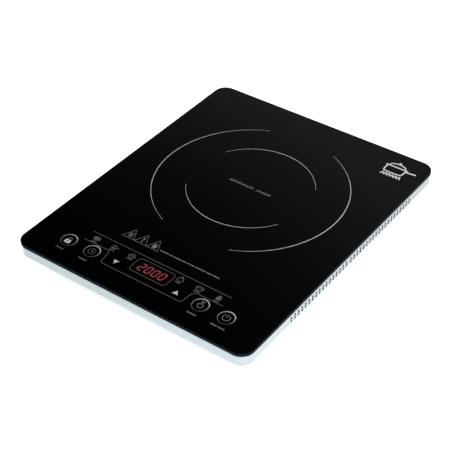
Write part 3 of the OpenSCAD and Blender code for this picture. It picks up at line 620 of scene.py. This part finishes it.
frying_pan = [(-3.2, -0.6), (2.6, -0.6), (1.9, -2.8), (-2.5, -2.8)]
steak = [(-4.4, 0), (-2.6, 2.7), (2.2, 3.0), (4.4, 0.8), (3.2, -2.4), (-1.8, -2.9)]
soup_pot = [(-3.4, -0.2), (-2.8, -3.0), (2.8, -3.0), (3.4, -0.2)]
kettle = [(-3.0, -2.9), (-3.4, 0.4), (-1.4, 2.5), (1.4, 2.5), (3.4, 0.4), (3.0, -2.9)]
casserole = [(-3.6, 0.6), (-3.2, -2.9), (3.2, -2.9), (3.6, 0.6)]
print_piece("program_icons", [
    (fill(moved(circle(0, 0, 3.3, 32, 2.0), STEAK_X, ICON_Y)), STEAK_INK),
    icon_line(STEAK_X, smooth(steak, 2, True), 0.5, closed=True),
    (fill(moved(frying_pan, FRYING_X, ICON_Y)), FRYING_INK),
    icon_line(FRYING_X, [(2.8, -1.0), (5.0, 0.2)], 0.7),
    steam(-55.0, 0.4), steam(-53.0, 0.7, 1.1), steam(-51.0, 0.4),
    icon_line(SOUP_X, smooth(soup_pot, 1), 0.6),
    icon_line(SOUP_X, [(-4.4, -0.2), (4.4, -0.2)], 0.6),
    steam(-32.0, 0.7), steam(-30.0, 0.9, 1.1), steam(-28.0, 0.7),
    icon_line(KETTLE_X, smooth(kettle, 1, True), 0.6, closed=True),
    icon_line(KETTLE_X, arc(0, 2.6, 1.3, 0, 180, 10), 0.5),
    icon_line(CASSEROLE_X, smooth(casserole, 1), 0.6),
    icon_line(CASSEROLE_X, arc(0, 0.9, 4.0, 0, 180, 16, 1.9), 0.6),
    icon_line(CASSEROLE_X, [(-4.6, 0.8), (4.6, 0.8)], 0.5),
    dish(-2.0, 5.0, 1.5), dish(-0.2, 5.4, 1.3), dish(1.5, 4.8, 1.2), dish(3.0, 2.2, 1.0),
])
print_piece("program_bars", [(word(x, CAPTION_Y, width, 1.0), CAPTION_INK)
                             for x, width in zip(ICONS_X, (7.2, 6.4, 7.0, 6.0, 7.0, 6.2))])

# Display digits of seven pointed bars a to g, leaning over by their slant. A bar runs between two
# places counted in digit widths to the right and half digit heights up.
DIGIT_WIDTH, DIGIT_HEIGHT, SLANT = 4.9, 9.6, math.tan(math.radians(8))
DIGITS_LEFT, DIGITS_FOOT, DIGIT_PITCH = -14.8, -138.0, 8.35
BARS = {"a": (0, 2, 1, 2), "b": (1, 2, 1, 1), "c": (1, 1, 1, 0), "d": (0, 0, 1, 0),
        "e": (0, 1, 0, 0), "f": (0, 2, 0, 1), "g": (0, 1, 1, 1)}
DIGIT_BARS = {"0": "abcdef", "2": "abged"}
BAR_WIDTH, BAR_GAP = 1.12, 0.22
READING = "2000"


def segment(x0, y0, x1, y1):
    """One bar with pointed ends from (x0, y0) to (x1, y1), a gap short of both."""
    a, b = Vector((x0, y0)), Vector((x1, y1))
    along = (b - a).normalized()
    side = Vector((-along.y, along.x)) * BAR_WIDTH / 2
    a, b = a + along * BAR_GAP, b - along * BAR_GAP
    tip = along * BAR_WIDTH / 2
    corners = (a, a + tip + side, b - tip + side, b, b - tip - side, a + tip - side)
    return [tuple(corner) for corner in corners]


digits = []
for place, digit in enumerate(READING):
    left = DIGITS_LEFT + place * DIGIT_PITCH
    for bar in DIGIT_BARS[digit]:
        x0, y0, x1, y1 = BARS[bar]
        outline = segment(x0 * DIGIT_WIDTH, y0 * DIGIT_HEIGHT / 2,
                          x1 * DIGIT_WIDTH, y1 * DIGIT_HEIGHT / 2)
        digits.append((fill([(left + x + y * SLANT, DIGITS_FOOT + y) for x, y in outline]), 0.0))
print_piece("display_digits", digits, glow)

# Two arrow keys.
ARROW_INK = 0.41
print_piece("arrow_marks", [
    (fill([(-41.1, -139.7), (-38.0, -145.2), (-34.9, -139.7)]), ARROW_INK),
    (fill([(34.4, -145.3), (37.7, -140.1), (41.0, -145.3)]), ARROW_INK),
])

# Four round keys: rings with a painted highlight, bright towards the back right and almost gone at
# the front.
KEYS_X = LOCK_X, TIMER_X, HAND_X, POWER_X = (-97.0, -67.0, 67.0, 97.0)
KEY_Y, KEY_R = -143.3, 8.45
KEY_STEPS = 72
RING_INK = 0.40
# Painted highlight: the rings' brightness every 45 degrees, from the right round by the back.
RING_HIGHLIGHT = (0.39, 0.94, 1.0, 0.62, 0.32, 0.11, 0.04, 0.08)


def highlight_at(angle):
    """How bright a key's ring's painted highlight is at an angle in radians, from 0 to 1."""
    place = math.degrees(angle) / 45 % 8
    first = int(place)
    share = 0.5 - 0.5 * math.cos(math.pi * (place - first))
    return RING_HIGHLIGHT[first] + (RING_HIGHLIGHT[(first + 1) % 8] - RING_HIGHLIGHT[first]) * share


def ring_width(angle):
    """How wide a key's ring is at an angle in radians."""
    return 0.5 + 0.55 * highlight_at(angle)


def ring_tone(key_x):
    """The grey of a key's ring at x, y: its painted highlight spread over its width."""
    def tone(x, y):
        angle = math.atan2(y - KEY_Y, x - key_x)
        return RING_INK * highlight_at(angle) / ring_width(angle)
    return tone


ring_widths = [ring_width(math.radians(360 // KEY_STEPS * i)) for i in range(KEY_STEPS)]
print_piece("key_rings", [
    (stroke(circle(x, KEY_Y, KEY_R, KEY_STEPS), ring_widths, closed=True), ring_tone(x))
    for x in KEYS_X])

# The keys' symbols: a closed lock, a clock, a hand below an arc, and a power mark.
LOCK_INK, HOLE_INK, LINE_INK, HAND_INK, POINTER_INK = 0.46, 0.004, 0.13, 0.14, 0.15
CLOCK_R = 3.8
lock_x, lock_y = LOCK_X - 0.15, -145.4
hand = [(-1.0, 4.2), (-1.0, 0.4), (-2.6, 0.9), (-3.4, 0.2), (-1.6, -2.6), (-1.4, -3.9),
        (2.4, -3.9), (2.8, -2.2), (3.3, 0.7), (0.6, 1.3), (0.6, 4.2)]
symbols = [
    (fill(rounded(lock_x - 3.3, lock_y - 2.8, lock_x + 3.3, lock_y + 2.5, 1.0)), LOCK_INK),
    (fill(circle(lock_x, lock_y + 0.3, 0.85, 20)), HOLE_INK),
    (stroke([(lock_x, lock_y), (lock_x, lock_y - 1.6)], 0.7), HOLE_INK),
    (stroke([(lock_x - 2.1, lock_y + 2.5)] + arc(lock_x, lock_y + 3.8, 2.1, 180, 20, 12), 0.7),
     LINE_INK),
    (stroke([(TIMER_X, KEY_Y), (TIMER_X, KEY_Y + 2.4)], 0.5), POINTER_INK),
    (stroke([(TIMER_X, KEY_Y), (TIMER_X + 1.8, KEY_Y - 0.8)], 0.5), POINTER_INK),
    (stroke(moved(smooth(hand, 1, closed=True), HAND_X, KEY_Y), 0.55, closed=True), HAND_INK),
    (stroke(arc(HAND_X, KEY_Y + 3.1, 2.6, 30, 150, 10), 0.45), HAND_INK),
    (stroke(arc(POWER_X, KEY_Y, 3.9, 125, 415, 40), 0.6), LINE_INK),
    (stroke([(POWER_X, KEY_Y + 0.6), (POWER_X, KEY_Y + 4.4)], 0.6), LINE_INK),
]
for hour in range(12):
    angle = math.radians(30 * hour)
    spot = circle(TIMER_X + CLOCK_R * math.cos(angle), KEY_Y + CLOCK_R * math.sin(angle), 0.42, 12)
    symbols.append((fill(spot), LINE_INK))
print_piece("key_symbols", symbols)

# A bar for each caption below the keys; the last key has two.
KEY_BARS_Y, KEY_BARS_HEIGHT = -157.5, 1.6
print_piece("key_bars", [(word(x, KEY_BARS_Y, width, KEY_BARS_HEIGHT), tone) for x, width, tone in
                         ((LOCK_X, 9.5, 0.05), (TIMER_X, 10.5, 0.062), (HAND_X, 10.5, 0.085),
                          (92.6, 7.2, 0.08), (101.2, 7.6, 0.08))])


# ---------------------------------------------------------------- the CAD nodes' finishes

for name, node in frame["nodes"].items():
    for slot_place in node.material_slots:
        slot_place.material = LOOKS[node_slots[name]]


# ---------------------------------------------------------------- floor, light and camera

FLOOR_SIZE = 7.0     # metres from its middle to a side
FLOOR_GLOW = 0.92


def floor_material():
    """A white table that is softly lit through from below."""
    mat, tree, shader, where = node_tree("light_table")
    white = mottled(tree, noise(tree, where, 2), (0.84, 0.84, 0.84), (0.86, 0.86, 0.86))
    tree.links.new(white, shader.inputs["Base Color"])
    tree.links.new(white, shader.inputs["Emission Color"])
    shader.inputs["Emission Strength"].default_value = FLOOR_GLOW
    tree.links.new(spread(tree, noise(tree, where, 5), 0.85, 0.95), shader.inputs["Roughness"])
    shader.inputs["Specular IOR Level"].default_value = 0.1
    return mat


bm = bmesh.new()
bmesh.ops.create_grid(bm, x_segments=8, y_segments=8, size=FLOOR_SIZE)
floor_mesh = bpy.data.meshes.new("floor")
bm.to_mesh(floor_mesh)
bm.free()
floor = bpy.data.objects.new("floor", floor_mesh)
floor.location.z = cad_low.z
scene.collection.objects.link(floor)
floor_mesh.materials.append(floor_material())


def direction(azimuth, elevation):
    """Unit vector from the plate, its azimuth from the front (-Y) round to the right."""
    az, el = math.radians(azimuth), math.radians(elevation)
    return Vector((math.sin(az) * math.cos(el), -math.cos(az) * math.cos(el), math.sin(el)))


def softbox(name, azimuth, elevation, distance, width, height, radiance):
    """A rectangle of even light that faces the cooktop."""
    data = bpy.data.lights.new(name, "AREA")
    data.shape = "RECTANGLE"
    data.size, data.size_y = width, height
    data.energy = radiance * math.pi * width * height
    lamp = bpy.data.objects.new(name, data)
    away = direction(azimuth, elevation)
    lamp.location = PLATE + away * distance
    lamp.rotation_euler = away.to_track_quat("Z", "Y").to_euler()
    scene.collection.objects.link(lamp)


softbox("softbox_key", azimuth=48, elevation=39, distance=0.72, width=0.35, height=0.25,
        radiance=14)

# The room: a bright ring of wall round a dark middle, whose dim inner side the glass mirrors
# towards the camera, and a white horizon. The wall's greys go by the cosine of the angle from
# that middle.
DARK_MIDDLE = (241.4, 51.3)    # azimuth, elevation
WALL = ((0.60, (0.25, 0.26, 0.27)), (0.80, (1.4, 1.4, 1.4)), (0.885, (2.05, 2.05, 2.05)),
        (0.905, (1.30, 1.30, 1.30)), (0.936, (0.46, 0.46, 0.46)), (0.965, (0.015, 0.015, 0.015)))
HORIZON = ((0.045, (1.0, 1.0, 1.0)), (0.09, (0.0, 0.0, 0.0)))    # over the Z of a direction
world = bpy.data.worlds.new("room")
scene.world = world
world.use_nodes = True
tree = world.node_tree
background = next(n for n in tree.nodes if n.type == "BACKGROUND")
sky = tree.nodes.new("ShaderNodeTexCoord").outputs["Generated"]
nearness = tree.nodes.new("ShaderNodeVectorMath")
nearness.operation = "DOT_PRODUCT"
nearness.inputs[1].default_value = direction(*DARK_MIDDLE)
tree.links.new(sky, nearness.inputs[0])
wall = ramp(tree, nearness.outputs["Value"], WALL)
horizon = ramp(tree, axes(tree, sky)["Z"], HORIZON)
tree.links.new(blend(tree, "LIGHTEN", wall, horizon), background.inputs["Color"])
background.inputs["Strength"].default_value = 1.0

# The camera stands at the photo's viewing angle and aims a little off the plate's middle.
CAMERA_AZIMUTH, CAMERA_ELEVATION, CAMERA_ROLL = 36.667, 39.129, -0.781
CAMERA_DISTANCE = 1.2253
AIM_X, AIM_Y = 0.01687, -0.03446    # metres from the plate's middle
LENS, SENSOR = 97.67, 36.0    # mm
camera_data = bpy.data.cameras.new("camera")
camera_data.lens = LENS
camera_data.sensor_width = SENSOR
camera = bpy.data.objects.new("camera", camera_data)
away = direction(CAMERA_AZIMUTH, CAMERA_ELEVATION)
camera.location = PLATE + Vector((AIM_X, AIM_Y, 0.0)) + away * CAMERA_DISTANCE
camera.rotation_euler = (away.to_track_quat("Z", "Y").to_matrix()
                         @ Matrix.Rotation(math.radians(CAMERA_ROLL), 3, "Z")).to_euler()
scene.collection.objects.link(camera)
scene.camera = camera
scene.view_settings.view_transform = "Standard"
